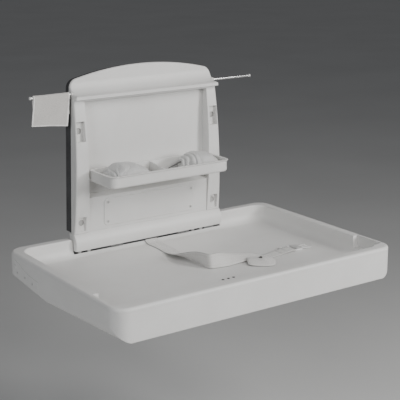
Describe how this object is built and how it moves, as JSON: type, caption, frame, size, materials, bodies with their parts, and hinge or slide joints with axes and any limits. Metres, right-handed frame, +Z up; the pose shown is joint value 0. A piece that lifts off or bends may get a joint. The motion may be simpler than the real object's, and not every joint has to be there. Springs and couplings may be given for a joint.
{
  "type": "wall mounted changing table",
  "caption": "Wall-mounted fold-down changing table: arched wall panel with towel rail and folding tray, and a shallow rimmed bed with a safety belt.",
  "frame": {"origin": "middle of the four wall bolts, on the wall's surface", "axes": "+X to the right along the wall as seen from the room, +Y into the wall, +Z up; the bed is shown open, level, on the -Y side"},
  "size_m": [0.8956, 0.618, 0.609],
  "materials": {
    "panel_plastic": "fine moulded texture",
    "bed_plastic": "fine moulded texture",
    "tray_plastic": "satin",
    "trim_plastic": "satin",
    "buckle_plastic": "satin gloss",
    "frame_steel": "matt black powder coat",
    "zinc_screws": "zinc plated",
    "bright_steel": "brushed",
    "bush_plastic": "plain bearing plastic",
    "stop_rubber": "matt",
    "towel_cloth": "terry cloth",
    "pack_cloth": "soft nonwoven",
    "webbing": "woven webbing"
  },
  "bodies": {
    "wall_unit": {"mounting_frame": "frame_steel", "bolt_sleeves": "frame_steel", "hinge_arm_left": "frame_steel", "hinge_arm_right": "frame_steel", "arm_bolts": "zinc_screws", "hinge_bushes": "bush_plastic", "stop_bar": "frame_steel", "stop_pads": "stop_rubber", "back_panel": "panel_plastic", "bolt_plugs": "trim_plastic", "tray_bushes": "bush_plastic", "top_hood": "panel_plastic", "hood_brackets": "frame_steel", "towel_rail": "bright_steel", "rail_end_caps": "trim_plastic", "rail_bushes": "bush_plastic", "towel": "towel_cloth", "lower_cover": "panel_plastic", "service_cover": "panel_plastic", "service_cover_screws": "zinc_screws"},
    "tray": {"tray_shell": "tray_plastic", "tray_liner": "tray_plastic", "tray_divider": "tray_plastic", "tray_pivot_pins": "bright_steel", "soft_pack_left": "pack_cloth", "soft_pack_right": "pack_cloth"},
    "bed": {"bed_upper_shell": "bed_plastic", "bed_lower_shell": "bed_plastic", "shell_screws": "zinc_screws", "grip_liner_left": "bed_plastic", "grip_liner_right": "bed_plastic", "drain_bushes": "trim_plastic", "bed_frame": "frame_steel", "hinge_lugs": "frame_steel", "hinge_pins": "bright_steel", "hinge_dampers": "bush_plastic", "frame_nuts": "zinc_screws", "side_cover_left": "bed_plastic", "side_cover_right": "bed_plastic", "side_caps": "trim_plastic", "side_cover_screws": "zinc_screws", "belt_anchor": "frame_steel", "anchor_screws": "zinc_screws", "belt_webbing": "webbing", "belt_slide": "buckle_plastic", "buckle_plug": "buckle_plastic"}
  },
  "joints": [
    {"name": "bed_fold", "type": "hinge", "parent": "wall_unit", "child": "bed", "pos_m": [0, -0.096, -0.239], "axis": [-1, 0, 0], "range_deg": [0, 90], "deforming": ["belt_webbing"]},
    {"name": "tray_fold", "type": "hinge", "parent": "wall_unit", "child": "tray", "pos_m": [0, -0.062, -0.005], "axis": [-1, 0, 0], "range_deg": [0, 90], "deforming": ["soft_pack_left", "soft_pack_right"]}
  ],
  "couplings": [
    {"joint": "tray_fold", "follows": "bed_fold", "ratio": 1}
  ]
}
